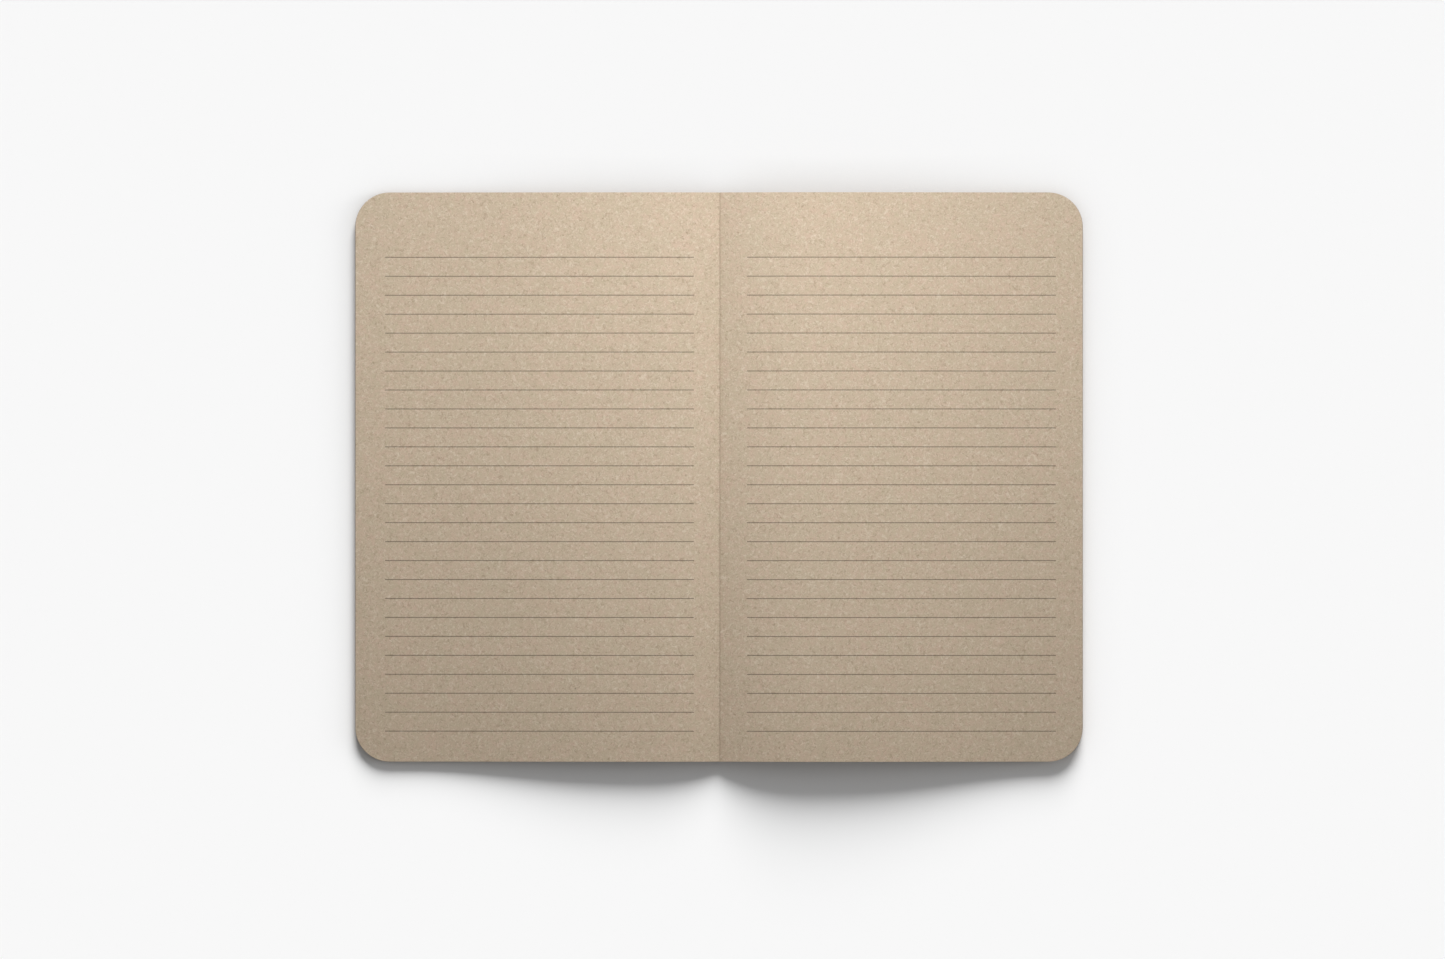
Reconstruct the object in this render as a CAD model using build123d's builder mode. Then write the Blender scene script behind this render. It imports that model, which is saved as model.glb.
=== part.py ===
from build123d import *
import os

# A staple-bound pocket notebook that lies open, cover down.
# X runs across the spread, with +X to the right page. Y runs up the page. Z is up.
# The origin is on the resting plane, under the middle of the fold.

# ---- Driving dimensions, in millimetres ----

# the trimmed page, and how the leaves are shared between the two stacks
page_width = 89.5            # from the fold to the fore edge, as the open page lies
page_height = 140.0
corner_radius = 8.4
left_leaf_count = 9
right_leaf_count = 15

# paper
leaf_thickness = 0.11
leaf_air = 0.05              # air between two leaves where the stack lies flat
fold_air = 0.03              # air between two leaves where the staples hold them
fold_gap = 0.3               # from the fold plane to a leaf's inner edge, past the staple's wire

# how the open stacks swell beside the fold
left_swell = 2.8             # rise of the top left leaf over its own flat fore edge
right_swell = 4.1            # rise of the top right leaf over its own flat fore edge
left_crest = 18.0            # from the fold to the highest line of the left stack
right_crest = 24.0
left_flat_from = 76.0        # from the fold to where the left stack lies flat again
right_flat_from = 84.0

# cover card
cover_thickness = 0.35
cover_air = 0.05             # air between the card and the first leaf
spine_width = 4.0            # between the two scores of the card
score_gap = 0.1              # a score's width, which parts the strip from the boards
spine_lift = 0.5             # how far the open spine stands off the table
lift_run = 5.0               # from a score to where the board lies on the table

# staples
wire_diameter = 0.4
crown_length = 12.0
clinch_length = 4.2
clinch_rise = 0.1            # how far a clinched leg's tip springs off the paper
wire_bend_radius = 0.5
leg_hole_clearance = 0.03
staple_spacing = 84.0        # between the middles of the two staples

# ---- Values that follow ----

leaf_pitch = leaf_thickness + leaf_air
fold_pitch = leaf_thickness + fold_air
first_leaf_flat = cover_thickness + cover_air
first_leaf_fold = spine_lift + cover_thickness + cover_air
score_at = spine_width / 2
board_from = score_at + score_gap
board_flat_from = board_from + lift_run
sheet_count = (left_leaf_count + right_leaf_count) // 2
centre_fold = first_leaf_fold + sheet_count * fold_pitch
wire_radius = wire_diameter / 2
well_above = 2 * (right_swell + right_leaf_count * leaf_pitch + first_leaf_fold)

# shares that shape the swell's curve: where its handles lie between its ends
rise_handle = 0.36           # along the rise from the fold
rise_height = 0.5            # of the rise's height that the first handle has
crest_handle = 0.42          # along the rise, back from the crest
fall_handle = 0.46
flat_handle = 0.34


def trim(side, inner):
    """The outline that the guillotine leaves, square at the fold and round at the fore edge."""
    middle = side * (inner + page_width) / 2
    with BuildSketch(Plane.XY) as outline:
        with Locations((middle, 0)):
            Rectangle(page_width - inner, page_height)
        fore_edge = outline.vertices().sort_by(Axis.X)
        corners = fore_edge[-2:] if side > 0 else fore_edge[:2]
        fillet(corners, corner_radius)
    return outline.sketch


def leaf(side, level, count, swell, crest, flat_from):
    """One leaf as it lies in its open stack: up from the fold, over the swell, flat to the fore edge."""
    at_fold = first_leaf_fold + level * fold_pitch
    at_flat = first_leaf_flat + level * leaf_pitch
    at_crest = at_flat + swell * (level + 1) / count
    rise = crest - fold_gap
    fall = flat_from - crest

    def face(lift):
        """The leaf's line across the page, as four points for each curved stretch and two for the flat one."""
        up = [
            (side * fold_gap, at_fold + lift),
            (side * (fold_gap + rise_handle * rise), at_fold + rise_height * (at_crest - at_fold) + lift),
            (side * (crest - crest_handle * rise), at_crest + lift),
            (side * crest, at_crest + lift),
        ]
        down = [
            (side * crest, at_crest + lift),
            (side * (crest + fall_handle * fall), at_crest + lift),
            (side * (flat_from - flat_handle * fall), at_flat + lift),
            (side * flat_from, at_flat + lift),
        ]
        return up, down, (side * page_width, at_flat + lift)

    with BuildPart() as sheet:
        with BuildSketch(Plane.XZ):
            with BuildLine():
                low_up, low_down, low_edge = face(0)
                high_up, high_down, high_edge = face(leaf_thickness)
                Bezier(*low_up)
                Bezier(*low_down)
                Line(low_down[-1], low_edge)
                Line(low_edge, high_edge)
                Line(high_edge, high_down[-1])
                Bezier(*high_down)
                Bezier(*high_up)
                Line(high_up[0], low_up[0])
            make_face()
        extrude(amount=page_height / 2, both=True)
        add(trim(side, fold_gap))
        extrude(amount=well_above, mode=Mode.INTERSECT)
    return sheet.part


def board(side):
    """A cover board: flat on the table, and lifted a little where it comes up to the spine."""
    def face(lift):
        ramp = [
            (side * board_from, spine_lift + lift),
            (side * (board_from + lift_run / 2), spine_lift + lift),
            (side * (board_flat_from - lift_run / 2), lift),
            (side * board_flat_from, lift),
        ]
        return ramp, (side * page_width, lift)

    with BuildPart() as card:
        with BuildSketch(Plane.XZ):
            with BuildLine():
                low_ramp, low_edge = face(0)
                high_ramp, high_edge = face(cover_thickness)
                Bezier(*low_ramp)
                Line(low_ramp[-1], low_edge)
                Line(low_edge, high_edge)
                Line(high_edge, high_ramp[-1])
                Bezier(*high_ramp)
                Line(high_ramp[0], low_ramp[0])
            make_face()
        extrude(amount=page_height / 2, both=True)
        add(trim(side, board_from))
        extrude(amount=well_above, mode=Mode.INTERSECT)
    return card.part


os.makedirs("parts", exist_ok=True)


def keep(shape, name):
    shape.label = name
    export_step(shape, f"parts/{name}.step")


# ---- Leaves, numbered from the front cover ----

# the left stack has leaf 1 next to the cover and its last leaf on top
for level in range(left_leaf_count):
    number = level + 1
    sheet = leaf(-1, level, left_leaf_count, left_swell, left_crest, left_flat_from)
    keep(sheet, f"leaf_{number:02d}")

# the right stack has the last leaf of the book next to the cover
for level in range(right_leaf_count):
    number = left_leaf_count + right_leaf_count - level
    sheet = leaf(1, level, right_leaf_count, right_swell, right_crest, right_flat_from)
    keep(sheet, f"leaf_{number:02d}")

# ---- Cover: one folded card, parted at its two scores ----

keep(board(-1), "front_cover")
keep(board(1), "back_cover")

leg_spots = [
    (0, staple + end)
    for staple in (-staple_spacing / 2, staple_spacing / 2)
    for end in (-crown_length / 2, crown_length / 2)
]

with BuildPart() as cover_spine:
    with BuildSketch(Plane.XY.offset(spine_lift)):
        Rectangle(spine_width, page_height)
        with Locations(*leg_spots):
            Circle(wire_radius + leg_hole_clearance, mode=Mode.SUBTRACT)
    extrude(amount=cover_thickness)
keep(cover_spine.part, "cover_spine")

# ---- Staples: crown under the spine, legs up through the fold, tips clinched towards each other ----


def staple(middle):
    crown = spine_lift - wire_radius
    clinch = centre_fold - wire_radius
    reach = crown_length / 2
    with BuildPart() as wire:
        with BuildLine(Plane.YZ) as route:
            FilletPolyline(
                (middle - reach + clinch_length, clinch + clinch_rise),
                (middle - reach, clinch),
                (middle - reach, crown),
                (middle + reach, crown),
                (middle + reach, clinch),
                (middle + reach - clinch_length, clinch + clinch_rise),
                radius=wire_bend_radius,
            )
        with BuildSketch(Plane(origin=route.line @ 0, z_dir=route.line % 0)):
            Circle(wire_radius)
        sweep()
    return wire.part


keep(staple(staple_spacing / 2), "staple_top")
keep(staple(-staple_spacing / 2), "staple_bottom")
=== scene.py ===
# %% [markdown]
# # A staple-bound pocket notebook, lying open
# The notebook is paper, card and wire: 24 ruled leaves of brown kraft paper, a cover of heavier kraft card
# that is folded round them, and two steel staples through the fold. Paper has almost no thickness, so
# nearly all of its look comes from how it bends, how light runs over the bend, and from the fibres in it.
# We start from the engineering model. It fixes where every sheet lies and what turns about the fold, and
# everything below is built around it.

import math

import bpy
import numpy as np
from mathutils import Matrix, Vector


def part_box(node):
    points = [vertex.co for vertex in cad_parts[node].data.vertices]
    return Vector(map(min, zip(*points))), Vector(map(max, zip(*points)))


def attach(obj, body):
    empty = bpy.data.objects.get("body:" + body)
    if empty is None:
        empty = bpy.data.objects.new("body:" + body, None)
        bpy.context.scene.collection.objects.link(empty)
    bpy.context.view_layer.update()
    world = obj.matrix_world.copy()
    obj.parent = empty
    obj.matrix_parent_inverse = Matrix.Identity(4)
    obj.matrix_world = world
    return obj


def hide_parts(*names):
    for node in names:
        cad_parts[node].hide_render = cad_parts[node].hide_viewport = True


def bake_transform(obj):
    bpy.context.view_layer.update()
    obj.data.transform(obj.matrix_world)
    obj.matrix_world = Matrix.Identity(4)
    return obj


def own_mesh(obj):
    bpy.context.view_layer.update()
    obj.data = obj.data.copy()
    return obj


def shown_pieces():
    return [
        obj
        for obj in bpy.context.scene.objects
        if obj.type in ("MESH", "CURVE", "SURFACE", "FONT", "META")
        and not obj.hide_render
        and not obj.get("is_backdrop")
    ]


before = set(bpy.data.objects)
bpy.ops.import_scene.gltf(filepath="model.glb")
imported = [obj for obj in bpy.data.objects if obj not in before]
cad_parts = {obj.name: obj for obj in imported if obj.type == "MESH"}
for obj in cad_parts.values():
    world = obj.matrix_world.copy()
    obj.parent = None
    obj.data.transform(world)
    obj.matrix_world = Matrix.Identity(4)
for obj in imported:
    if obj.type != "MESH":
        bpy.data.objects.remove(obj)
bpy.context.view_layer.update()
MM = 0.001

# %% [markdown]
# ## Sizes
# The page's size and the heights come from the loaded model. A leaf's box gives the height of its fore edge
# and the height of its crest, but not where the crest is, so that is written down with the leaves below. The
# leaves lie in two stacks, and a leaf's level counts up from the cover.

# %% The stacks, and the page's size read from the model
LEFT_LEAVES = 9
RIGHT_LEAVES = 15
ALL_LEAVES = LEFT_LEAVES + RIGHT_LEAVES

back_low, back_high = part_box("back_cover")
PAGE_WIDTH = back_high.x
PAGE_HEIGHT = back_high.y - back_low.y
CORNER_RADIUS = 8.4 * MM
LEAF_THICKNESS = 0.11 * MM
SCORE = 2.05 * MM             # from the fold to the middle of a score in the cover
print("page", PAGE_WIDTH / MM, "x", PAGE_HEIGHT / MM, "mm")

# %% [markdown]
# ## One helper for every node
# Materials and Geometry Nodes are both trees of nodes. One small function adds a node, sets its properties,
# and fills or links its inputs. Colours are written as the hex values a painter would pick, and Blender
# works in linear light, so a second function turns one into the other.

# %% Helpers for nodes and colours
def add_node(tree, kind, inputs=None, **settings):
    """Adds one node to a tree. An input that is given a socket is linked, and any other value is set."""
    node = tree.nodes.new(kind)
    for name, value in settings.items():
        setattr(node, name, value)
    for key, value in (inputs or {}).items():
        if isinstance(value, bpy.types.NodeSocket):
            tree.links.new(value, node.inputs[key])
        else:
            node.inputs[key].default_value = value
    return node


def linear(hex_colour):
    """A hex sRGB colour as linear RGBA."""
    channels = [int(hex_colour[i : i + 2], 16) / 255 for i in (1, 3, 5)]
    return (*[c / 12.92 if c <= 0.04045 else ((c + 0.055) / 1.055) ** 2.4 for c in channels], 1.0)


def new_material(name):
    """An empty node material with its output and its Principled shader already joined."""
    material = bpy.data.materials.new(name)
    material.use_nodes = True
    tree = material.node_tree
    tree.nodes.clear()
    shader = add_node(tree, "ShaderNodeBsdfPrincipled")
    add_node(tree, "ShaderNodeOutputMaterial", {"Surface": shader.outputs["BSDF"]})
    return material, tree, shader


# %% [markdown]
# ## Camera
# The notebook is seen from straight above, with almost no perspective, as a copy stand shows it. A long
# lens from far away does that. An orthographic camera would too, but a real lens still shows that a
# swelling page is a little nearer.

# %% Place the camera over the spread
VIEW_WIDTH = 355.6 * MM       # how much of the table the frame takes in, across
SENSOR_WIDTH = 36.0           # millimetres, as Blender writes it
CAMERA_HEIGHT = 5.0
CAMERA_ASIDE = Vector((0.85 * MM, -0.6 * MM, 0))

camera_data = bpy.data.cameras.new("copy_stand")
camera_data.sensor_width = SENSOR_WIDTH
camera_data.lens = SENSOR_WIDTH * CAMERA_HEIGHT / VIEW_WIDTH
camera_data.clip_end = 20.0
camera = bpy.data.objects.new("copy_stand", camera_data)
camera.location = CAMERA_ASIDE + Vector((0, 0, CAMERA_HEIGHT))
bpy.context.scene.collection.objects.link(camera)
bpy.context.scene.camera = camera
bpy.context.scene.view_settings.view_transform = "Standard"
print("lens", round(camera_data.lens, 1), "mm")

# %% [markdown]
# ## Light
# The notebook lies close under a soft box that stands at its head. A near light fades quickly, so the pages
# are bright at the head and darker towards the foot and the fore edges. The table gets two suns instead, a
# strong one from the head and a faint low one from the right, because parallel light leaves a plain table
# evenly white while its shadows keep their direction. Light linking says which light reaches what. A third
# sun, low from the right too, reaches everything: it lights the slope of the left page at the fold, and
# leaves the slope of the right page a little darker. The sky fills the rest.

# %% Soft box for the notebook, suns for the table
notebook_lit = bpy.data.collections.new("lit_by_soft_box")
table_lit = bpy.data.collections.new("lit_by_sun")

SOFT_BOX_PLACE = Vector((0.0075, 0.125, 0.198))
SOFT_BOX_WIDTH = 0.16
SOFT_BOX_DEPTH = 0.10
SOFT_BOX_POWER = 0.43         # watts
soft_box_data = bpy.data.lights.new("soft_box", "AREA")
soft_box_data.shape = "RECTANGLE"
soft_box_data.size = SOFT_BOX_WIDTH
soft_box_data.size_y = SOFT_BOX_DEPTH
soft_box_data.energy = SOFT_BOX_POWER
soft_box = bpy.data.objects.new("soft_box", soft_box_data)
soft_box.location = SOFT_BOX_PLACE
soft_box.rotation_euler = (-SOFT_BOX_PLACE).to_track_quat("-Z", "Y").to_euler()
soft_box.visible_camera = False
soft_box.light_linking.receiver_collection = notebook_lit
bpy.context.scene.collection.objects.link(soft_box)


def add_sun(name, elevation, azimuth, spread, strength):
    """A soft sun, with its angles in degrees. Azimuth 0 is the notebook's head, and 90 is its right side."""
    up, aside = math.radians(elevation), math.radians(azimuth)
    towards = Vector((math.sin(aside) * math.cos(up), math.cos(aside) * math.cos(up), math.sin(up)))
    data = bpy.data.lights.new(name, "SUN")
    data.energy = strength
    data.angle = math.radians(spread)
    sun = bpy.data.objects.new(name, data)
    sun.rotation_euler = (-towards).to_track_quat("-Z", "Y").to_euler()
    bpy.context.scene.collection.objects.link(sun)
    return sun


table_sun = add_sun("table_sun", elevation=25, azimuth=8, spread=33, strength=5.45)
table_side_sun = add_sun("table_side_sun", elevation=17, azimuth=88, spread=28, strength=0.25)
for sun in (table_sun, table_side_sun):
    sun.light_linking.receiver_collection = table_lit
side_sun = add_sun("side_sun", elevation=17, azimuth=88, spread=28, strength=0.54)

# %% Sky
SKY_STRENGTH = 0.25
sky = bpy.data.worlds.new("studio_fill")
sky.use_nodes = True
sky.node_tree.nodes["Background"].inputs["Color"].default_value = (1, 1, 1, 1)
sky.node_tree.nodes["Background"].inputs["Strength"].default_value = SKY_STRENGTH
bpy.context.scene.world = sky

# %% [markdown]
# ## Table
# A plain pale board, a hair under the cover so that the two surfaces never share a plane. Light also fails
# a little in the corner where a thing meets what it stands on. The Ambient Occlusion node measures how much
# of a point's view is taken up by something near, and the board's colour is darkened a little by that, a
# painted shade, so the notebook sits on it from all sides.

# %% Make the table
TABLE_SIDE = 6.0
TABLE_GAP = 0.04 * MM         # between the board and the cover
CONTACT_REACH = 10 * MM
# painted shade: the grey the board's colour is darkened to where the notebook stands closest
CONTACT_SHADE = "#C6C6C6"     # the board's tone right in the corner
bpy.ops.mesh.primitive_plane_add(size=TABLE_SIDE, location=(0, 0, -TABLE_GAP))
table = bpy.context.object
table.name = "table"
table_paint, table_tree, table_shader = new_material("matt_white_board")
# painted shade: Ambient Occlusion mixes the board's white towards CONTACT_SHADE near the notebook
nearness = add_node(table_tree, "ShaderNodeAmbientOcclusion", {"Distance": CONTACT_REACH}, samples=8)
board_with_painted_shade = add_node(
    table_tree, "ShaderNodeMix",
    {0: nearness.outputs["AO"], 6: linear(CONTACT_SHADE), 7: linear("#F2F2F2")}, data_type="RGBA",
).outputs[2]
table_tree.links.new(board_with_painted_shade, table_shader.inputs["Base Color"])
table_shader.inputs["Roughness"].default_value = 0.9
table_shader.inputs["Specular IOR Level"].default_value = 0.1
table.data.materials.append(table_paint)
table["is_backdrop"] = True
table_lit.objects.link(table)

# %% [markdown]
# ## Kraft paper
# Kraft paper is unbleached wood pulp, so it is brown, and it is uncoated, so it is quite matt. Close to, it
# is a felt of short curved fibres, some lighter and some darker than the sheet, over soft pinkish and
# greenish blotches, with a dark speck of bark here and there. Only the ruling is printed: 26 fine rules on
# every side of every leaf. The pattern has to bend with the sheet, so it reads each leaf's own UV map,
# which holds millimetres from the fold and millimetres up the page. A number on each side of each leaf
# moves the pattern, so that no two pages are the same.

# %% Sizes of the ruling, in millimetres
RULE_COUNT = 26
RULE_PITCH = 4.662
FIRST_RULE = 54.05            # above the middle of the page
RULE_WIDTH = 0.22
RULE_LENGTH = 75.95
RECTO_MARGIN = 6.9            # from the fold to a rule's start, on a leaf's front
VERSO_MARGIN = 6.2            # and on its back, which is printed in a second pass
RULE_INK = 0.42               # how much light the printed grey leaves
RULE_BLUR = 0.03              # half the width of a rule's soft edge
BACK_FROM = 0.25              # a page number's fraction is 0 on a front and a half on a back
PATTERN_STEP = 37.0           # how far the pattern moves on from one page number to the next


# %% Ruling, as a mask in the shader
def ruling(tree, across, up, page_number):
    """1 on a printed rule and 0 off it. A whole page number is a leaf's front, and a half is its back."""
    steps = add_node(tree, "ShaderNodeMath", {0: FIRST_RULE, 1: up}, operation="SUBTRACT").outputs[0]
    rows = add_node(tree, "ShaderNodeMath", {0: steps, 1: RULE_PITCH}, operation="DIVIDE").outputs[0]
    nearest = add_node(tree, "ShaderNodeMath", {0: rows}, operation="ROUND").outputs[0]
    kept = add_node(
        tree, "ShaderNodeClamp", {"Value": nearest, "Min": 0.0, "Max": RULE_COUNT - 1.0}
    ).outputs[0]
    off_row = add_node(tree, "ShaderNodeMath", {0: rows, 1: kept}, operation="SUBTRACT").outputs[0]
    off_mm = add_node(tree, "ShaderNodeMath", {0: off_row, 1: RULE_PITCH}, operation="MULTIPLY").outputs[0]
    away = add_node(tree, "ShaderNodeMath", {0: off_mm}, operation="ABSOLUTE").outputs[0]
    thick = add_node(
        tree, "ShaderNodeMapRange",
        {
            "Value": away, "From Min": RULE_WIDTH / 2 - RULE_BLUR, "From Max": RULE_WIDTH / 2 + RULE_BLUR,
            "To Min": 1.0, "To Max": 0.0,
        },
    ).outputs[0]
    half = add_node(tree, "ShaderNodeMath", {0: page_number}, operation="FRACT").outputs[0]
    is_back = add_node(tree, "ShaderNodeMath", {0: half, 1: BACK_FROM}, operation="GREATER_THAN").outputs[0]
    margin = add_node(
        tree, "ShaderNodeMapRange", {"Value": is_back, "To Min": RECTO_MARGIN, "To Max": VERSO_MARGIN}
    ).outputs[0]
    along = add_node(tree, "ShaderNodeMath", {0: across, 1: margin}, operation="SUBTRACT").outputs[0]
    begun = add_node(tree, "ShaderNodeMath", {0: along, 1: 0.0}, operation="GREATER_THAN").outputs[0]
    ended = add_node(tree, "ShaderNodeMath", {0: along, 1: RULE_LENGTH}, operation="LESS_THAN").outputs[0]
    length = add_node(tree, "ShaderNodeMath", {0: begun, 1: ended}, operation="MULTIPLY").outputs[0]
    return add_node(tree, "ShaderNodeMath", {0: thick, 1: length}, operation="MULTIPLY").outputs[0]


# %% [markdown]
# ### Fibres
# A fibre is a thin curved streak. A smooth noise is a landscape of low hills, and its contour lines, like
# those on a map, are fine and winding. A second noise rubs out most of each contour, so short curved pieces
# are left that lie every way. Real fibres are about 0.03 mm thick. They are drawn three times as coarse, or
# they would never show.

# %% Fibres, as a mask in the shader
FIBRE_PATCHES = 0.95          # of the noise that cuts contours into fibres, per millimetre


def fibres(tree, place, bend_mm, contours, width_mm, kept, seed):
    """1 on a fibre and 0 off it. bend_mm is the hills' size, and kept is how much of their contours stays."""
    shifted = add_node(
        tree, "ShaderNodeVectorMath", {0: place, 1: (seed, -seed, 0.37 * seed)}, operation="ADD"
    ).outputs[0]
    hills = add_node(
        tree, "ShaderNodeTexNoise",
        {"Vector": shifted, "Scale": 1 / bend_mm, "Detail": 0.8, "Distortion": 0.3},
    ).outputs[0]
    steps = add_node(tree, "ShaderNodeMath", {0: hills, 1: float(contours)}, operation="MULTIPLY").outputs[0]
    off_contour = add_node(tree, "ShaderNodeMath", {0: steps, 1: 0.5}, operation="PINGPONG").outputs[0]
    half_width = 0.5 * width_mm * contours / bend_mm
    line = add_node(
        tree, "ShaderNodeMapRange",
        {"Value": off_contour, "From Min": 0.0, "From Max": half_width, "To Min": 1.0, "To Max": 0.0},
    ).outputs[0]
    patches = add_node(
        tree, "ShaderNodeTexNoise",
        {"Vector": shifted, "Scale": FIBRE_PATCHES, "Detail": 1.0, "Distortion": 0.5},
    ).outputs[0]
    edge = 0.68 - 0.35 * kept
    shown = add_node(
        tree, "ShaderNodeMapRange", {"Value": patches, "From Min": edge, "From Max": edge + 0.07}
    ).outputs[0]
    return add_node(tree, "ShaderNodeMath", {0: line, 1: shown}, operation="MULTIPLY").outputs[0]


# %% Specks of bark, as a mask in the shader
def specks(tree, place, cell_mm, size_mm, share):
    """1 on a speck and 0 off it. One cell in 1/share has a speck."""
    cells = add_node(tree, "ShaderNodeTexVoronoi", {"Vector": place, "Scale": 1.0 / cell_mm})
    chance = add_node(tree, "ShaderNodeSeparateColor", {"Color": cells.outputs["Color"]}).outputs[0]
    chosen = add_node(tree, "ShaderNodeMath", {0: chance, 1: share}, operation="LESS_THAN").outputs[0]
    spot = add_node(
        tree, "ShaderNodeMapRange",
        {
            "Value": cells.outputs["Distance"],
            "From Min": 0.25 * size_mm / cell_mm,
            "From Max": 0.5 * size_mm / cell_mm,
            "To Min": 1.0,
            "To Max": 0.0,
        },
    ).outputs[0]
    return add_node(tree, "ShaderNodeMath", {0: spot, 1: chosen}, operation="MULTIPLY").outputs[0]


# %% [markdown]
# ### The felt of the sheet
# The layers go on one after another, from the broadest to the finest. Each is a Mix node whose factor is a
# mask, so the colour of every layer can be picked by eye. Paper and card are the same pulp, and they share
# this.

# %% Layers of kraft pulp
def kraft_pulp(tree, place, base, pink, green, light_fibre, dark_fibre, bark):
    """The colour of kraft pulp at a place given in millimetres, and the relief of its fibres."""
    broad = add_node(
        tree, "ShaderNodeTexNoise", {"Vector": place, "Scale": 0.22, "Detail": 2.0, "Roughness": 0.6}
    ).outputs[0]
    broad_share = add_node(
        tree, "ShaderNodeMapRange", {"Value": broad, "From Min": 0.35, "From Max": 0.65, "To Max": 0.8}
    ).outputs[0]
    patchy = add_node(
        tree, "ShaderNodeTexNoise",
        {"Vector": place, "Scale": 0.8, "Detail": 3.0, "Roughness": 0.7, "Distortion": 0.6},
    ).outputs[0]
    patchy_share = add_node(
        tree, "ShaderNodeMapRange", {"Value": patchy, "From Min": 0.38, "From Max": 0.66, "To Max": 0.75}
    ).outputs[0]
    tone = add_node(
        tree, "ShaderNodeMix", {0: broad_share, 6: linear(base), 7: linear(pink)}, data_type="RGBA"
    ).outputs[2]
    tone = add_node(
        tree, "ShaderNodeMix", {0: patchy_share, 6: tone, 7: linear(green)}, data_type="RGBA"
    ).outputs[2]

    grain = add_node(
        tree, "ShaderNodeTexNoise", {"Vector": place, "Scale": 3.4, "Detail": 2.0, "Roughness": 0.65}
    ).outputs[0]
    shade = add_node(
        tree, "ShaderNodeMapRange",
        {"Value": grain, "From Min": 0.25, "From Max": 0.75, "To Min": 0.9, "To Max": 1.1},
    ).outputs[0]
    tone = add_node(tree, "ShaderNodeVectorMath", {0: tone, "Scale": shade}, operation="SCALE").outputs[0]

    relief = None
    # colour, size of the hills, contours, width, share that stays, seed, and how strongly it shows
    layers = [
        (light_fibre, 1.2, 4, 0.1, 0.8, 47.9, 0.5),
        (dark_fibre, 1.3, 4, 0.09, 0.75, 11.3, 0.3),
        (light_fibre, 1.7, 3, 0.11, 0.7, 139.2, 0.55),
        (dark_fibre, 1.5, 3, 0.1, 0.6, 61.7, 0.36),
        (dark_fibre, 2.2, 3, 0.11, 0.12, 83.1, 0.5),
    ]
    for colour, bend, contours, width, kept, seed, strength in layers:
        mask = fibres(tree, place, bend, contours, width, kept, seed)
        share = add_node(tree, "ShaderNodeMath", {0: mask, 1: strength}, operation="MULTIPLY").outputs[0]
        tone = add_node(
            tree, "ShaderNodeMix", {0: share, 6: tone, 7: linear(colour)}, data_type="RGBA"
        ).outputs[2]
        relief = mask if relief is None else add_node(tree, "ShaderNodeMath", {0: relief, 1: mask}).outputs[0]
    bark_mask = specks(tree, place, 7.0, 0.36, 0.2)
    tone = add_node(
        tree, "ShaderNodeMix", {0: bark_mask, 6: tone, 7: linear(bark)}, data_type="RGBA"
    ).outputs[2]
    height = add_node(tree, "ShaderNodeMath", {0: relief, 1: grain}).outputs[0]
    return tone, height


# %% A cut edge shows the pulp end on; it is darkened here as painted shade, for the gaps between stacked sheets
CUT_EDGE_SHADE = 0.62


def paint_edge_shade(tree, tone):
    """The tone, darkened on the faces that are marked as cut edges: painted shade for the gaps between
    stacked sheets.
    """
    cut = add_node(tree, "ShaderNodeAttribute", attribute_name="cut_edge").outputs["Fac"]
    kept = add_node(
        tree, "ShaderNodeMapRange", {"Value": cut, "To Min": 1.0, "To Max": CUT_EDGE_SHADE}
    ).outputs[0]
    return add_node(tree, "ShaderNodeVectorMath", {0: tone, "Scale": kept}, operation="SCALE").outputs[0]


# %% Kraft writing paper: uncoated, so a rough matt surface with hardly any gloss
def kraft_paper():
    """Kraft pulp with the rules printed on it."""
    material, tree, shader = new_material("kraft_writing_paper")
    page = add_node(tree, "ShaderNodeUVMap", uv_map="page_mm")
    numbered = add_node(tree, "ShaderNodeAttribute", attribute_name="page_number")
    split = add_node(tree, "ShaderNodeSeparateXYZ", {"Vector": page.outputs["UV"]})
    moved_on = add_node(
        tree, "ShaderNodeMath", {0: numbered.outputs["Fac"], 1: PATTERN_STEP}, operation="MULTIPLY"
    ).outputs[0]
    place = add_node(
        tree, "ShaderNodeCombineXYZ", {"X": split.outputs["X"], "Y": split.outputs["Y"], "Z": moved_on}
    ).outputs[0]
    tone, height = kraft_pulp(
        tree, place,
        base="#C9B69F", pink="#CFB6A1", green="#C4B69B",
        light_fibre="#E2D3BE", dark_fibre="#8E7860", bark="#8A8074",
    )
    printed = ruling(tree, split.outputs["X"], split.outputs["Y"], numbered.outputs["Fac"])
    ink = add_node(
        tree, "ShaderNodeMapRange", {"Value": printed, "To Min": 1.0, "To Max": RULE_INK}
    ).outputs[0]
    tone = add_node(tree, "ShaderNodeVectorMath", {0: tone, "Scale": ink}, operation="SCALE").outputs[0]
    # painted shade on the leaf's cut edges
    tone = paint_edge_shade(tree, tone)
    bump = add_node(tree, "ShaderNodeBump", {"Height": height, "Strength": 0.35, "Distance": 0.02 * MM})
    tree.links.new(tone, shader.inputs["Base Color"])
    tree.links.new(bump.outputs["Normal"], shader.inputs["Normal"])
    shader.inputs["Roughness"].default_value = 0.92
    shader.inputs["IOR"].default_value = 1.5
    shader.inputs["Specular IOR Level"].default_value = 0.25
    return material


paper = kraft_paper()
print("paper nodes", len(paper.node_tree.nodes))


# %% [markdown]
# ## Kraft card
# The cover is the same pulp, three times as thick and darker. Along its two scores the surface is worn a
# little paler, which a mask of the distance from each score gives.

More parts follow.
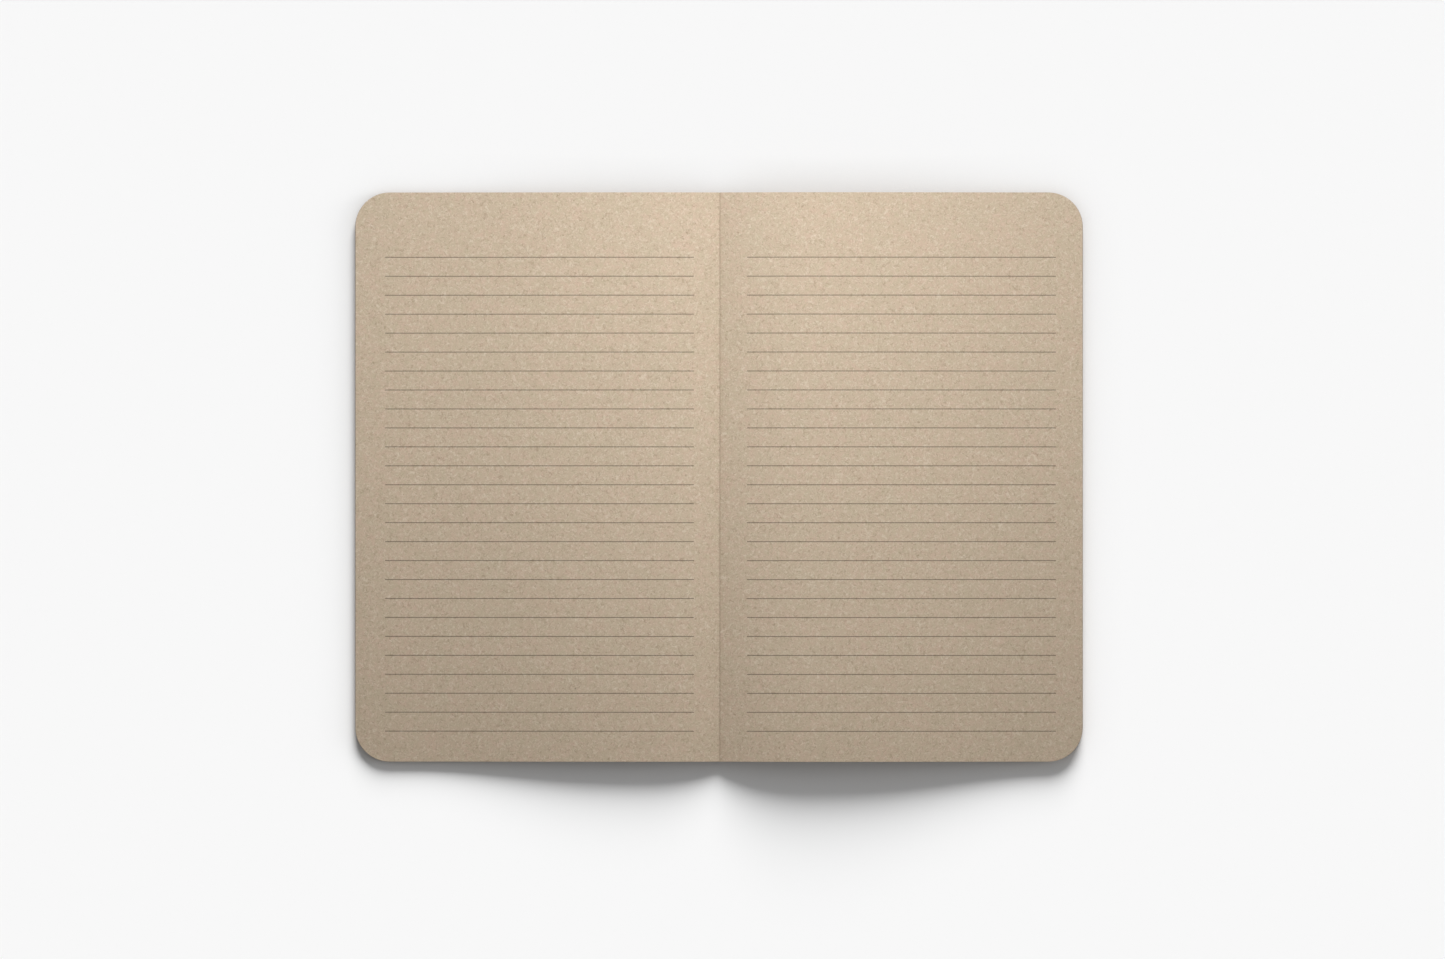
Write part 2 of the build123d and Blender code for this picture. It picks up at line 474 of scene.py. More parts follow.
# %% Kraft cover card
def kraft_card():
    """Kraft pulp, darker than the paper and rubbed pale along the scores."""
    material, tree, shader = new_material("kraft_cover_card")
    page = add_node(tree, "ShaderNodeUVMap", uv_map="page_mm")
    split = add_node(tree, "ShaderNodeSeparateXYZ", {"Vector": page.outputs["UV"]})
    numbered = add_node(tree, "ShaderNodeAttribute", attribute_name="page_number")
    moved_on = add_node(
        tree, "ShaderNodeMath", {0: numbered.outputs["Fac"], 1: PATTERN_STEP}, operation="MULTIPLY"
    ).outputs[0]
    place = add_node(
        tree, "ShaderNodeCombineXYZ", {"X": split.outputs["X"], "Y": split.outputs["Y"], "Z": moved_on}
    ).outputs[0]
    tone, height = kraft_pulp(
        tree, place,
        base="#B8977A", pink="#BC9A7E", green="#AE9275",
        light_fibre="#D2B797", dark_fibre="#7C6048", bark="#5C5248",
    )
    away = add_node(tree, "ShaderNodeMath", {0: split.outputs["X"]}, operation="ABSOLUTE").outputs[0]
    from_score = add_node(tree, "ShaderNodeMath", {0: away, 1: SCORE / MM}, operation="SUBTRACT").outputs[0]
    near_score = add_node(tree, "ShaderNodeMath", {0: from_score}, operation="ABSOLUTE").outputs[0]
    rub = add_node(tree, "ShaderNodeTexNoise", {"Vector": place, "Scale": 0.9, "Detail": 3.0}).outputs[0]
    band = add_node(
        tree, "ShaderNodeMapRange",
        {"Value": near_score, "From Min": 0.1, "From Max": 0.7, "To Min": 0.7, "To Max": 0.0},
    ).outputs[0]
    worn = add_node(tree, "ShaderNodeMath", {0: band, 1: rub}, operation="MULTIPLY").outputs[0]
    tone = add_node(
        tree, "ShaderNodeMix", {0: worn, 6: tone, 7: linear("#D9C3A6")}, data_type="RGBA"
    ).outputs[2]
    # painted shade on the card's cut edges
    tone = paint_edge_shade(tree, tone)
    bump = add_node(tree, "ShaderNodeBump", {"Height": height, "Strength": 0.5, "Distance": 0.03 * MM})
    tree.links.new(tone, shader.inputs["Base Color"])
    tree.links.new(bump.outputs["Normal"], shader.inputs["Normal"])
    shader.inputs["Roughness"].default_value = 0.86
    shader.inputs["Specular IOR Level"].default_value = 0.3
    return material


card = kraft_card()


# %% [markdown]
# ## Staple wire
# Steel wire is drawn through a die, which leaves fine lines along it and a bright, slightly streaky
# surface. Metal takes its colour from what it reflects, so the colour is a light grey and the metallic
# value is 1.

# %% Drawn steel wire
def drawn_wire():
    """Bright steel with fine lines along the wire."""
    material, tree, shader = new_material("drawn_steel_wire")
    place = add_node(tree, "ShaderNodeTexCoord").outputs["Object"]
    along = add_node(
        tree, "ShaderNodeMapping", {"Vector": place, "Scale": (9000.0, 300.0, 9000.0)}
    ).outputs[0]
    lines = add_node(tree, "ShaderNodeTexNoise", {"Vector": along, "Scale": 1.0, "Detail": 3.0}).outputs[0]
    tint = add_node(
        tree, "ShaderNodeMix", {0: lines, 6: linear("#9A9A9C"), 7: linear("#D8D8DA")}, data_type="RGBA"
    ).outputs[2]
    rough = add_node(tree, "ShaderNodeMapRange", {"Value": lines, "To Min": 0.22, "To Max": 0.42}).outputs[0]
    bump = add_node(tree, "ShaderNodeBump", {"Height": lines, "Strength": 0.3, "Distance": 0.004 * MM})
    tree.links.new(tint, shader.inputs["Base Color"])
    tree.links.new(rough, shader.inputs["Roughness"])
    tree.links.new(bump.outputs["Normal"], shader.inputs["Normal"])
    shader.inputs["Metallic"].default_value = 1.0
    return material


wire = drawn_wire()

# %% [markdown]
# ## The leaves
# All 24 leaves follow one rule. From the fold the sheet climbs over the swell, sinks to the flat part, and
# ends at a fore edge with two round corners. One Geometry Nodes tree says that rule once, and its inputs
# are the sizes, such as how high the leaf lies at the fold, at its crest and at its fore edge.
#
# The tree starts from a flat grid. It moves each column to its distance from the fold, shortens the columns
# near the fore edge so that they follow the corner's circle, lifts every point by the rule, and then gives
# the sheet its thickness. Columns are closer together near the fold, where the paper bends most.

# %% The tree's inputs
LEAF_INPUTS = {
    "Side": 1.0, "Page Number": 0.0, "Inner": 0.0003, "Outer": 0.09, "Height": 0.14, "Corner": 0.008,
    "Fold Height": 0.0, "Crest Height": 0.0, "Flat Height": 0.0, "Crest": 0.02, "Flat From": 0.06,
    "Curl": 0.0, "Curl Reach": 0.0006, "Flutter": 0.0, "Thickness": 0.0001,
}
COLUMNS = 76
ROWS = 51
RIM_ROW = 1 / (ROWS - 1)      # the share of the grid's height that the outermost row of faces has
RIM_SHARE = 0.0004            # the share of the page's height that it is squeezed into
CORNER_SHARE = 0.16           # of the columns that make the round corners
FOLD_CROWDING = 1.5           # over 1, the columns crowd towards the fold

leaf_tree = bpy.data.node_groups.new("swelling_leaf", "GeometryNodeTree")
for label, value in LEAF_INPUTS.items():
    socket = leaf_tree.interface.new_socket(label, in_out="INPUT", socket_type="NodeSocketFloat")
    socket.default_value = value
leaf_tree.interface.new_socket("Paper", in_out="INPUT", socket_type="NodeSocketMaterial")
leaf_tree.interface.new_socket("Geometry", in_out="OUTPUT", socket_type="NodeSocketGeometry")
leaf_in = leaf_tree.nodes.new("NodeGroupInput").outputs


# %% Where a grid point goes across and up the page
def across_and_up(tree, sizes):
    """The distance from the fold, and the height up the page, of each point of the flat grid."""
    spot = add_node(
        tree, "ShaderNodeSeparateXYZ", {0: add_node(tree, "GeometryNodeInputPosition").outputs[0]}
    )
    share = add_node(tree, "ShaderNodeMath", {0: spot.outputs["X"], 1: 0.5}, operation="ADD").outputs[0]
    plain = add_node(
        tree, "ShaderNodeMapRange", {"Value": share, "From Max": 1.0 - CORNER_SHARE}
    ).outputs[0]
    crowded = add_node(tree, "ShaderNodeMath", {0: plain, 1: FOLD_CROWDING}, operation="POWER").outputs[0]
    corner_starts = add_node(
        tree, "ShaderNodeMath", {0: sizes["Outer"], 1: sizes["Corner"]}, operation="SUBTRACT"
    ).outputs[0]
    straight = add_node(
        tree, "ShaderNodeMapRange", {"Value": crowded, "To Min": sizes["Inner"], "To Max": corner_starts}
    ).outputs[0]
    turn = add_node(
        tree, "ShaderNodeMapRange", {"Value": share, "From Min": 1.0 - CORNER_SHARE, "To Max": math.pi / 2}
    ).outputs[0]
    sine = add_node(tree, "ShaderNodeMath", {0: turn}, operation="SINE").outputs[0]
    across = add_node(
        tree, "ShaderNodeMath", {0: sine, 1: sizes["Corner"], 2: straight}, operation="MULTIPLY_ADD"
    ).outputs[0]
    cosine = add_node(tree, "ShaderNodeMath", {0: turn}, operation="COSINE").outputs[0]
    cut = add_node(tree, "ShaderNodeMath", {0: 1.0, 1: cosine}, operation="SUBTRACT").outputs[0]
    lost = add_node(tree, "ShaderNodeMath", {0: cut, 1: sizes["Corner"]}, operation="MULTIPLY").outputs[0]
    both = add_node(tree, "ShaderNodeMath", {0: lost, 1: 2.0}, operation="MULTIPLY").outputs[0]
    column = add_node(tree, "ShaderNodeMath", {0: sizes["Height"], 1: both}, operation="SUBTRACT").outputs[0]
    inner_row = 0.5 - RIM_ROW
    inner = add_node(
        tree, "ShaderNodeMapRange",
        {
            "Value": spot.outputs["Y"], "From Min": -inner_row, "From Max": inner_row,
            "To Min": RIM_SHARE - 0.5, "To Max": 0.5 - RIM_SHARE,
        },
    ).outputs[0]
    head_rim = add_node(
        tree, "ShaderNodeMapRange",
        {"Value": spot.outputs["Y"], "From Min": inner_row, "From Max": 0.5, "To Max": RIM_SHARE},
    ).outputs[0]
    foot_rim = add_node(
        tree, "ShaderNodeMapRange",
        {
            "Value": spot.outputs["Y"], "From Min": -0.5, "From Max": -inner_row,
            "To Min": -RIM_SHARE, "To Max": 0.0,
        },
    ).outputs[0]
    rims = add_node(tree, "ShaderNodeMath", {0: head_rim, 1: foot_rim}, operation="ADD").outputs[0]
    row = add_node(tree, "ShaderNodeMath", {0: inner, 1: rims}, operation="ADD").outputs[0]
    up = add_node(tree, "ShaderNodeMath", {0: row, 1: column}, operation="MULTIPLY").outputs[0]
    return across, up


# %% How high the sheet lies there
STEEP_START = 2.2             # over 1, how much steeper the sheet climbs at the fold than on average
FALL_LATE = 1.14              # over 1, the sheet stays up for longer before it falls to the flat part
FLUTTER_WAVES = 17.0          # of the noise that makes a sheet uneven, per metre
FLUTTER_STEP = 0.008          # how far that noise moves on from one leaf to the next


def swell_height(tree, sizes, across, up):
    """Up to the crest, steeply at first, then down half a cosine wave to the flat part."""
    rise = add_node(
        tree, "ShaderNodeMapRange",
        {
            "Value": across, "From Min": sizes["Inner"], "From Max": sizes["Crest"],
            "To Min": 1.0, "To Max": 0.0,
        },
    ).outputs[0]
    to_go = add_node(tree, "ShaderNodeMath", {0: rise, 1: STEEP_START}, operation="POWER").outputs[0]
    climb = add_node(tree, "ShaderNodeMath", {0: 1.0, 1: to_go}, operation="SUBTRACT").outputs[0]
    rising = add_node(
        tree, "ShaderNodeMapRange",
        {"Value": climb, "To Min": sizes["Fold Height"], "To Max": sizes["Crest Height"]},
    ).outputs[0]
    past_crest = add_node(
        tree, "ShaderNodeMapRange",
        {"Value": across, "From Min": sizes["Crest"], "From Max": sizes["Flat From"]},
    ).outputs[0]
    late = add_node(tree, "ShaderNodeMath", {0: past_crest, 1: FALL_LATE}, operation="POWER").outputs[0]
    fall = add_node(tree, "ShaderNodeMath", {0: late, 1: math.pi}, operation="MULTIPLY").outputs[0]
    wave = add_node(tree, "ShaderNodeMath", {0: fall}, operation="COSINE").outputs[0]
    falling = add_node(
        tree, "ShaderNodeMapRange",
        {"Value": wave, "From Min": -1.0, "To Min": sizes["Flat Height"], "To Max": sizes["Crest Height"]},
    ).outputs[0]
    past = add_node(
        tree, "ShaderNodeMath", {0: across, 1: sizes["Crest"]}, operation="GREATER_THAN"
    ).outputs[0]
    smooth = add_node(tree, "ShaderNodeMix", {0: past, 2: rising, 3: falling}, data_type="FLOAT").outputs[0]

    beyond = add_node(tree, "ShaderNodeMath", {0: sizes["Inner"], 1: across}, operation="SUBTRACT").outputs[0]
    reach = add_node(
        tree, "ShaderNodeMath", {0: beyond, 1: sizes["Curl Reach"]}, operation="DIVIDE"
    ).outputs[0]
    fade = add_node(tree, "ShaderNodeMath", {0: reach}, operation="EXPONENT").outputs[0]
    dip = add_node(tree, "ShaderNodeMath", {0: fade, 1: sizes["Curl"]}, operation="MULTIPLY").outputs[0]
    curled = add_node(tree, "ShaderNodeMath", {0: smooth, 1: dip}, operation="SUBTRACT").outputs[0]

    drift = add_node(
        tree, "ShaderNodeMath", {0: sizes["Page Number"], 1: FLUTTER_STEP}, operation="MULTIPLY"
    ).outputs[0]
    spot = add_node(tree, "ShaderNodeCombineXYZ", {0: across, 1: up, 2: drift}).outputs[0]
    waves = add_node(
        tree, "ShaderNodeTexNoise", {"Vector": spot, "Scale": FLUTTER_WAVES, "Detail": 1.0}
    ).outputs[0]
    out = add_node(
        tree, "ShaderNodeMapRange",
        {"Value": across, "From Min": sizes["Crest"], "From Max": sizes["Outer"], "To Max": 1.0},
    ).outputs[0]
    loose = add_node(tree, "ShaderNodeMath", {0: out, 1: waves}, operation="MULTIPLY").outputs[0]
    return add_node(
        tree, "ShaderNodeMath", {0: loose, 1: sizes["Flutter"], 2: curled}, operation="MULTIPLY_ADD"
    ).outputs[0]


# %% Put the tree together
sizes = {label: leaf_in[label] for label in LEAF_INPUTS}
grid = add_node(
    leaf_tree, "GeometryNodeMeshGrid",
    {"Size X": 1.0, "Size Y": 1.0, "Vertices X": COLUMNS, "Vertices Y": ROWS},
).outputs["Mesh"]
across, up = across_and_up(leaf_tree, sizes)
across_mm = add_node(leaf_tree, "ShaderNodeMath", {0: across, 1: 1 / MM}, operation="MULTIPLY").outputs[0]
up_mm = add_node(leaf_tree, "ShaderNodeMath", {0: up, 1: 1 / MM}, operation="MULTIPLY").outputs[0]
page_place = add_node(leaf_tree, "ShaderNodeCombineXYZ", {0: across_mm, 1: up_mm}).outputs[0]
mapped = add_node(
    leaf_tree, "GeometryNodeStoreNamedAttribute", {"Geometry": grid, "Name": "page_mm", "Value": page_place},
    data_type="FLOAT2", domain="CORNER",
).outputs[0]
lifted = swell_height(leaf_tree, sizes, across, up)
sideways = add_node(
    leaf_tree, "ShaderNodeMath", {0: across, 1: sizes["Side"]}, operation="MULTIPLY"
).outputs[0]
target = add_node(leaf_tree, "ShaderNodeCombineXYZ", {0: sideways, 1: up, 2: lifted}).outputs[0]
bent = add_node(leaf_tree, "GeometryNodeSetPosition", {"Geometry": mapped, "Position": target}).outputs[0]
on_left = add_node(
    leaf_tree, "FunctionNodeCompare", {0: sizes["Side"], 1: 0.0}, operation="LESS_THAN"
).outputs[0]
facing_up = add_node(leaf_tree, "GeometryNodeFlipFaces", {"Mesh": bent, "Selection": on_left}).outputs[0]

# the sheet's own surface becomes its underside, and a copy that is pushed out by the thickness becomes its
# top and its edges; a left leaf lies on its front and a right leaf on its back, whose number is a half more
top_half = add_node(
    leaf_tree, "ShaderNodeMapRange", {"Value": sizes["Side"], "From Min": -1.0, "To Min": 0.5, "To Max": 0.0}
)
under_half = add_node(
    leaf_tree, "ShaderNodeMapRange", {"Value": sizes["Side"], "From Min": -1.0, "To Max": 0.5}
)
top_number, under_number = [
    add_node(
        leaf_tree, "ShaderNodeMath", {0: sizes["Page Number"], 1: half.outputs[0]}, operation="ADD"
    ).outputs[0]
    for half in (top_half, under_half)
]
underside = add_node(
    leaf_tree, "GeometryNodeStoreNamedAttribute",
    {"Geometry": add_node(leaf_tree, "GeometryNodeFlipFaces", {"Mesh": facing_up}).outputs[0],
     "Name": "page_number", "Value": under_number},
    data_type="FLOAT", domain="FACE",
).outputs[0]
pushed = add_node(
    leaf_tree, "GeometryNodeExtrudeMesh",
    {"Mesh": facing_up, "Offset Scale": sizes["Thickness"], "Individual": False},
    mode="FACES",
)
topside = add_node(
    leaf_tree, "GeometryNodeStoreNamedAttribute",
    {"Geometry": pushed.outputs["Mesh"], "Name": "page_number", "Value": top_number},
    data_type="FLOAT", domain="FACE",
).outputs[0]
smooth_top = add_node(leaf_tree, "GeometryNodeSetShadeSmooth", {"Geometry": topside}).outputs[0]
edge_marked = add_node(
    leaf_tree, "GeometryNodeStoreNamedAttribute",
    {"Geometry": smooth_top, "Name": "cut_edge", "Value": pushed.outputs["Side"]},
    data_type="FLOAT", domain="FACE",
).outputs[0]
flat_edges = add_node(
    leaf_tree, "GeometryNodeSetShadeSmooth",
    {"Geometry": edge_marked, "Selection": pushed.outputs["Side"], "Shade Smooth": False},
).outputs[0]
smooth_under = add_node(leaf_tree, "GeometryNodeSetShadeSmooth", {"Geometry": underside}).outputs[0]
both_sides = leaf_tree.nodes.new("GeometryNodeJoinGeometry")
leaf_tree.links.new(smooth_under, both_sides.inputs[0])
leaf_tree.links.new(flat_edges, both_sides.inputs[0])
closed = add_node(
    leaf_tree, "GeometryNodeMergeByDistance", {"Geometry": both_sides.outputs[0], "Distance": 0.001 * MM}
).outputs[0]
real = add_node(leaf_tree, "GeometryNodeRealizeInstances", {"Geometry": closed}).outputs[0]
painted = add_node(
    leaf_tree, "GeometryNodeSetMaterial", {"Geometry": real, "Material": leaf_in["Paper"]}
).outputs[0]
add_node(leaf_tree, "NodeGroupOutput", {"Geometry": painted})
print("leaf tree nodes", len(leaf_tree.nodes))


# %% [markdown]
# ## Growing each leaf
# A modifier's inputs are set by identifier before Blender first works the leaf out. The result is copied
# into a plain mesh, so the finished leaf has no modifier left and its place is in its points.

# %% Grow a leaf from the tree
def grow(tree, name, values, finish):
    """Runs a tree once with these inputs, and returns the result as a plain mesh object at the origin."""
    seed_mesh = bpy.data.meshes.new(name + "_seed")
    seedling = bpy.data.objects.new(name + "_seed", seed_mesh)
    bpy.context.scene.collection.objects.link(seedling)
    modifier = seedling.modifiers.new("rule", "NODES")
    modifier.node_group = tree
    for item in tree.interface.items_tree:
        if item.in_out == "INPUT" and item.name in values:
            modifier[item.identifier] = values[item.name]
        elif item.in_out == "INPUT" and item.socket_type == "NodeSocketMaterial":
            modifier[item.identifier] = finish
    bpy.context.view_layer.update()
    depsgraph = bpy.context.evaluated_depsgraph_get()
    mesh = bpy.data.meshes.new_from_object(seedling.evaluated_get(depsgraph))
    mesh.name = name
    bpy.data.objects.remove(seedling)
    piece = bpy.data.objects.new(name, mesh)
    bpy.context.scene.collection.objects.link(piece)
    return piece


# %% Sizes of the swell, from the model and from its maker's values
FOLD_PITCH = {-1: 0.17 * MM, 1: 0.115 * MM}   # looser on the left than on the right
FIRST_AT_FOLD = 0.9 * MM      # how high the lowest leaf lies at the fold
CREST = {-1: 18.0 * MM, 1: 24.0 * MM}         # from the fold to a stack's highest line
FLAT_FROM = {-1: 76.0 * MM, 1: 84.0 * MM}     # and to where it lies flat again
STAGGER = 0.008 * MM          # how much each leaf falls short of the one below, for the longer way it goes
FOLD_EDGE = 0.3 * MM          # from the fold to a leaf's inner edge, but for the two leaves that show there
TOP_LEFT, TOP_RIGHT = LEFT_LEAVES, LEFT_LEAVES + 1
SHOWN_EDGES = {TOP_LEFT: -0.24 * MM, TOP_RIGHT: 0.25 * MM}    # the left one crosses the fold
CURL = 0.14 * MM              # how far the top right leaf's edge dips at the fold
CURL_REACH = 0.5 * MM
FLUTTER = 0.04 * MM           # how uneven a sheet is at its fore edge


def leaf_sizes(side, level, number):
    """The tree's inputs for one leaf. Its heights are read from the engineering model's leaf."""
    low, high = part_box(f"leaf_{number:02d}")
    return {
        "Side": float(side),
        "Page Number": float(number),
        "Inner": SHOWN_EDGES.get(number, FOLD_EDGE),
        "Outer": PAGE_WIDTH - STAGGER * level,
        "Height": PAGE_HEIGHT,
        "Corner": CORNER_RADIUS,
        "Fold Height": FIRST_AT_FOLD + level * FOLD_PITCH[side],
        "Crest Height": high.z - LEAF_THICKNESS,
        "Flat Height": low.z,
        "Crest": CREST[side],
        "Flat From": FLAT_FROM[side],
        "Curl": CURL if number == TOP_RIGHT else 0.0,
        "Curl Reach": CURL_REACH,
        "Flutter": FLUTTER,
        "Thickness": LEAF_THICKNESS,
    }


def make_leaf(side, level, number):
    """Grows one leaf and puts it on its body."""
    node = f"leaf_{number:02d}"
    values = leaf_sizes(side, level, number)
    piece = grow(leaf_tree, f"paper_{node}", values, paper)
    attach(piece, f"{node}_body")
    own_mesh(piece)
    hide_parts(node)
    return piece


leaves = [make_leaf(-1, level, level + 1) for level in range(LEFT_LEAVES)]
leaves += [make_leaf(1, level, ALL_LEAVES - level) for level in range(RIGHT_LEAVES)]
print("leaves", len(leaves), "triangles each", sum(len(p.vertices) - 2 for p in leaves[0].data.polygons))

# %% [markdown]
# ## The cover
# One piece of card wraps the leaves: front board, spine and back board. It is folded along two scores,
# shallow grooves pressed into the card so that it bends there and not somewhere else. The card is a strip
# of columns again, one mesh that runs from one board across the spine to the other.

# %% Columns of the card, from the front board's fore edge to the back board's
CARD_THICKNESS = 0.35 * MM
SPINE_LIFT = 0.5 * MM         # how far the spine stands off the table
LIFT_END = 7.1 * MM           # from the fold to where a board lies on the table
GROOVE_DEPTH = 0.07 * MM
GROOVE_WIDTH = 0.28 * MM
GROOVE_REACH = 3 * GROOVE_WIDTH
RIDGE_SHARE = 0.7             # of the groove's depth, that shows as a ridge inside
INSIDE, OUTSIDE = 0.25, 0.75  # page numbers of the card's two sides


def card_columns():
    """Distances from the fold, close together at the corners and round the scores."""
    turn = np.linspace(0, math.pi / 2, 13)
    corner = PAGE_WIDTH - CORNER_RADIUS + CORNER_RADIUS * np.sin(turn)
    board = np.linspace(LIFT_END, PAGE_WIDTH - CORNER_RADIUS, 30)[:-1]
    ramp = np.linspace(SCORE + GROOVE_REACH, LIFT_END, 13)[:-1]
    groove = np.linspace(SCORE - GROOVE_REACH, SCORE + GROOVE_REACH, 15)[:-1]
    spine = np.linspace(0, SCORE - GROOVE_REACH, 9)[:-1]
    half = np.concatenate([spine, groove, ramp, board, corner])
    return np.concatenate([-half[:0:-1], half])


def card_lift(x):
    """How far the card's middle plane stands off the table there."""
    share = np.clip((np.abs(x) - SCORE) / (LIFT_END - SCORE), 0, 1)
    return SPINE_LIFT * (1 - share * share * (3 - 2 * share))


def card_half_height(x):
    """Half the card's height there, which shrinks round the corners."""
    past = np.clip((np.abs(x) - (PAGE_WIDTH - CORNER_RADIUS)) / CORNER_RADIUS, 0, 1)
    return PAGE_HEIGHT / 2 - CORNER_RADIUS * (1 - np.sqrt(1 - past * past))


# %% Build the card as one closed sheet
CARD_ROWS = 43
CARD_RIM_SHARE = 0.0012       # of half the height, that the outermost row of faces has


def make_cover():
    """The folded card, with a groove along each score on the outside and a matching ridge inside."""
    x = card_columns()
    groove = GROOVE_DEPTH * np.exp(-(((np.abs(x) - SCORE) / (GROOVE_WIDTH / 2)) ** 2))
    low = card_lift(x) + groove
    high = card_lift(x) + CARD_THICKNESS + RIDGE_SHARE * groove
    inner = np.linspace(CARD_RIM_SHARE - 1, 1 - CARD_RIM_SHARE, CARD_ROWS - 2)
    up = np.concatenate([[-1], inner, [1]])
    points, uvs, faces, pages = [], [], [], []
    for z in (low, high):
        for column in range(len(x)):
            for row in up:
                y = row * card_half_height(x[column])
                points.append((x[column], y, z[column]))
                uvs.append((x[column] / MM, y / MM))
    count = len(x) * CARD_ROWS

    def at(layer, column, row):
        return layer * count + column * CARD_ROWS + row

    for column in range(len(x) - 1):
        for row in range(CARD_ROWS - 1):
            corners = [(column, row), (column + 1, row), (column + 1, row + 1), (column, row + 1)]
            faces.append([at(1, *c) for c in corners])
            faces.append([at(0, *c) for c in reversed(corners)])
            pages += [INSIDE, OUTSIDE]
    smooth_count = len(faces)
    rim = [(c, 0) for c in range(len(x))] + [(len(x) - 1, r) for r in range(1, CARD_ROWS)]
    rim += [(c, CARD_ROWS - 1) for c in range(len(x) - 2, -1, -1)]
    rim += [(0, r) for r in range(CARD_ROWS - 2, 0, -1)]
    for here, there in zip(rim, rim[1:] + rim[:1]):
        faces.append([at(0, *here), at(0, *there), at(1, *there), at(1, *here)])
        pages.append(INSIDE)
    mesh = bpy.data.meshes.new("folded_card_cover")
    mesh.from_pydata(points, [], faces)
    mesh.polygons.foreach_set("use_smooth", [index < smooth_count for index in range(len(faces))])
    layer = mesh.uv_layers.new(name="page_mm")
    for loop in mesh.loops:
        layer.data[loop.index].uv = uvs[loop.vertex_index]
    number = mesh.attributes.new("page_number", "FLOAT", "FACE")
    number.data.foreach_set("value", pages)
    cut = mesh.attributes.new("cut_edge", "FLOAT", "FACE")
    cut.data.foreach_set("value", [float(index >= smooth_count) for index in range(len(faces))])
    mesh.materials.append(card)
    mesh.update()
    piece = bpy.data.objects.new("folded_card_cover", mesh)
    bpy.context.scene.collection.objects.link(piece)
    return piece


cover = make_cover()
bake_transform(cover)
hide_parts("front_cover", "back_cover", "cover_spine")
print("cover faces", len(cover.data.polygons))

# %% [markdown]
# ## The staples
# A staple is one piece of round wire: a crown under the spine, two legs through the fold, and two tips that
# are clinched towards each other inside. Its path is six points with rounded corners, so a Geometry Nodes
# tree can say it with a few sizes: a line of six points is moved into place, its corners are filleted, and
# a circle runs along it. The clinch bites into the paper, so it lies a little lower than it would on a stiff
# stack.

# %% The staple's tree
STAPLE_INPUTS = {
    "Middle": 0.04, "Crown Length": 0.012, "Crown Height": 0.0003, "Clinch Height": 0.0021,
    "Clinch Length": 0.0042, "Tip Rise": 0.0001, "Wire Diameter": 0.0004, "Bend Radius": 0.0005,
}
staple_tree = bpy.data.node_groups.new("bent_wire_staple", "GeometryNodeTree")
for label, value in STAPLE_INPUTS.items():
    socket = staple_tree.interface.new_socket(label, in_out="INPUT", socket_type="NodeSocketFloat")
    socket.default_value = value
staple_tree.interface.new_socket("Wire", in_out="INPUT", socket_type="NodeSocketMaterial")
staple_tree.interface.new_socket("Geometry", in_out="OUTPUT", socket_type="NodeSocketGeometry")
staple_in = staple_tree.nodes.new("NodeGroupInput").outputs


def staple_corner(side, inward, height):
    """One corner of the wire's path: at a leg, or inward from it, at a height."""
    half = add_node(
        staple_tree, "ShaderNodeMath", {0: staple_in["Crown Length"], 1: 0.5}, operation="MULTIPLY"
    ).outputs[0]
    reach = half
    if inward:
        reach = add_node(
            staple_tree, "ShaderNodeMath", {0: half, 1: staple_in["Clinch Length"]}, operation="SUBTRACT"
        ).outputs[0]
    y = add_node(
        staple_tree, "ShaderNodeMath",
        {0: reach, 1: float(side), 2: staple_in["Middle"]}, operation="MULTIPLY_ADD",
    ).outputs[0]
    return add_node(staple_tree, "ShaderNodeCombineXYZ", {1: y, 2: height}).outputs[0]


# %% Put the staple together
tip_height = add_node(
    staple_tree, "ShaderNodeMath", {0: staple_in["Clinch Height"], 1: staple_in["Tip Rise"]}
).outputs[0]
wire_path = [
    staple_corner(-1, True, tip_height),
    staple_corner(-1, False, staple_in["Clinch Height"]),
    staple_corner(-1, False, staple_in["Crown Height"]),
    staple_corner(1, False, staple_in["Crown Height"]),
    staple_corner(1, False, staple_in["Clinch Height"]),
    staple_corner(1, True, tip_height),
]
which = staple_tree.nodes.new("GeometryNodeIndexSwitch")
which.data_type = "VECTOR"
while len(which.index_switch_items) < len(wire_path):
    which.index_switch_items.new()
staple_tree.links.new(add_node(staple_tree, "GeometryNodeInputIndex").outputs[0], which.inputs[0])
for index, corner in enumerate(wire_path):
    staple_tree.links.new(corner, which.inputs[index + 1])
six_points = add_node(staple_tree, "GeometryNodeMeshLine", {"Count": len(wire_path)}).outputs[0]
placed = add_node(
    staple_tree, "GeometryNodeSetPosition", {"Geometry": six_points, "Position": which.outputs[0]}
).outputs[0]
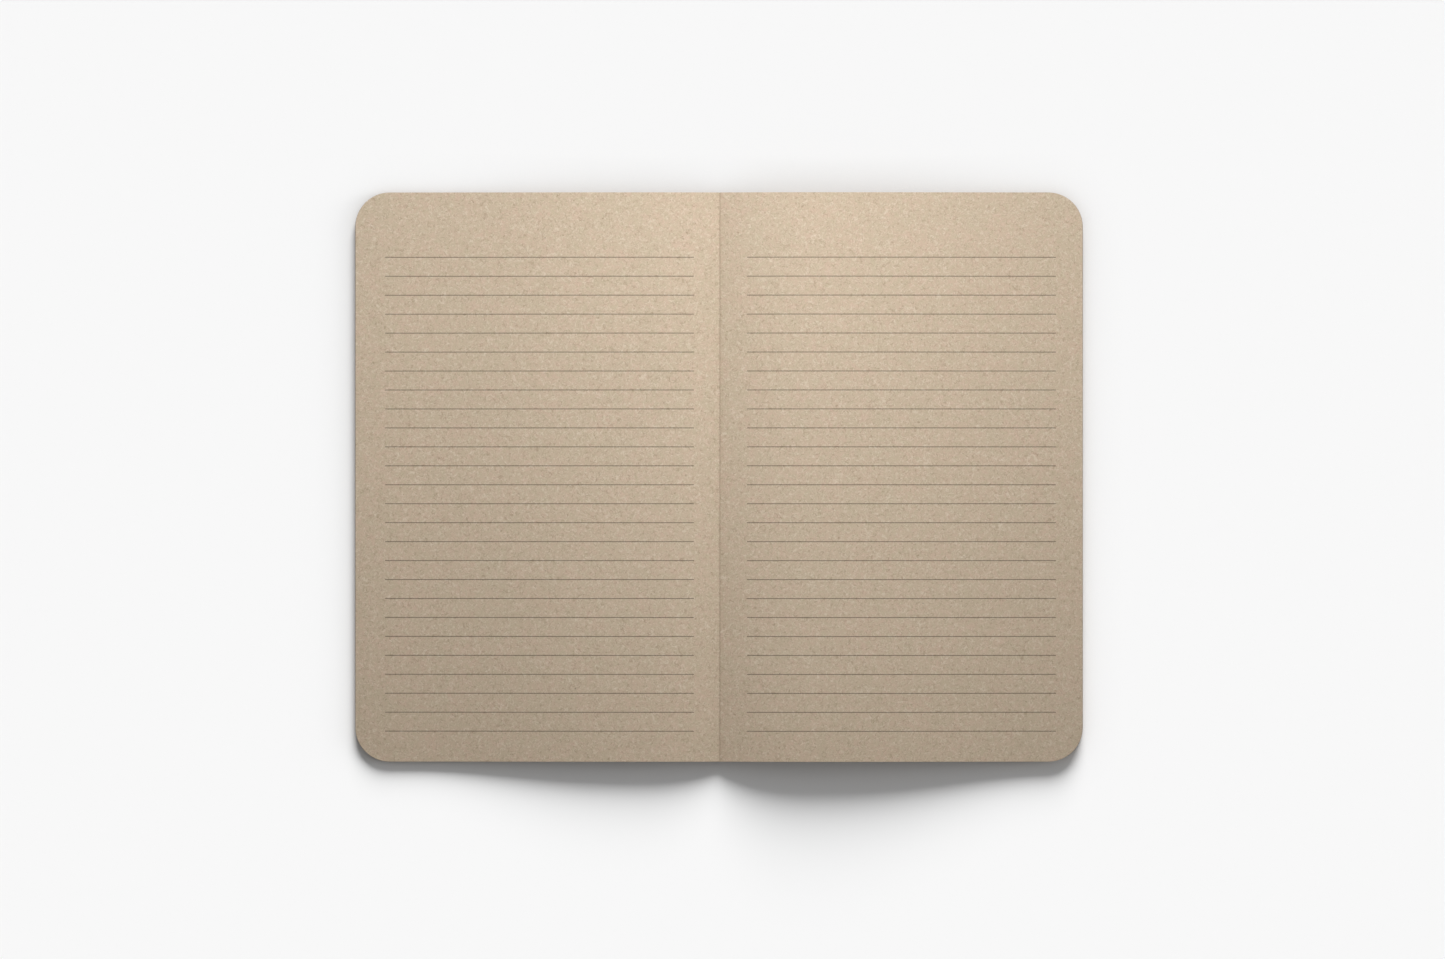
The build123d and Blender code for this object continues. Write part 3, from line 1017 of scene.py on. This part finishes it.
bare_path = add_node(staple_tree, "GeometryNodeMeshToCurve", {"Mesh": placed}).outputs[0]
rounded = add_node(
    staple_tree, "GeometryNodeFilletCurve",
    {"Curve": bare_path, "Radius": staple_in["Bend Radius"], "Limit Radius": True, "Count": 8}, mode="POLY",
).outputs[0]
wire_radius = add_node(
    staple_tree, "ShaderNodeMath", {0: staple_in["Wire Diameter"], 1: 0.5}, operation="MULTIPLY"
).outputs[0]
profile = add_node(
    staple_tree, "GeometryNodeCurvePrimitiveCircle", {"Resolution": 20, "Radius": wire_radius}
).outputs[0]
tube = add_node(
    staple_tree, "GeometryNodeCurveToMesh", {"Curve": rounded, "Profile Curve": profile, "Fill Caps": True}
).outputs[0]
smooth_tube = add_node(staple_tree, "GeometryNodeSetShadeSmooth", {"Geometry": tube}).outputs[0]
real_wire = add_node(staple_tree, "GeometryNodeRealizeInstances", {"Geometry": smooth_tube}).outputs[0]
drawn = add_node(
    staple_tree, "GeometryNodeSetMaterial", {"Geometry": real_wire, "Material": staple_in["Wire"]}
).outputs[0]
add_node(staple_tree, "NodeGroupOutput", {"Geometry": drawn})


# %% Bend the two staples
CLINCH_SINKS = 0.45 * MM      # how far the clinched legs bite below their place in the model


def make_staple(name):
    """Bends one staple to the size of its node, on the spine."""
    low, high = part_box(name)
    diameter = high.x - low.x
    tip = high.z - diameter / 2 - CLINCH_SINKS
    values = {
        "Middle": (low.y + high.y) / 2,
        "Crown Length": high.y - low.y - diameter,
        "Crown Height": low.z + diameter / 2,
        "Clinch Height": tip - STAPLE_INPUTS["Tip Rise"],
        "Wire Diameter": diameter,
    }
    piece = grow(staple_tree, f"wire_{name}", values, wire)
    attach(piece, "spine")
    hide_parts(name)
    return piece


staples = [make_staple(name) for name in ("staple_top", "staple_bottom")]
print("staple faces", [len(piece.data.polygons) for piece in staples])

# %% [markdown]
# ## Which light reaches what
# The soft box lights every piece of the notebook, and the two table suns light only the table.

# %% Link the lights
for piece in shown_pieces():
    notebook_lit.objects.link(piece)
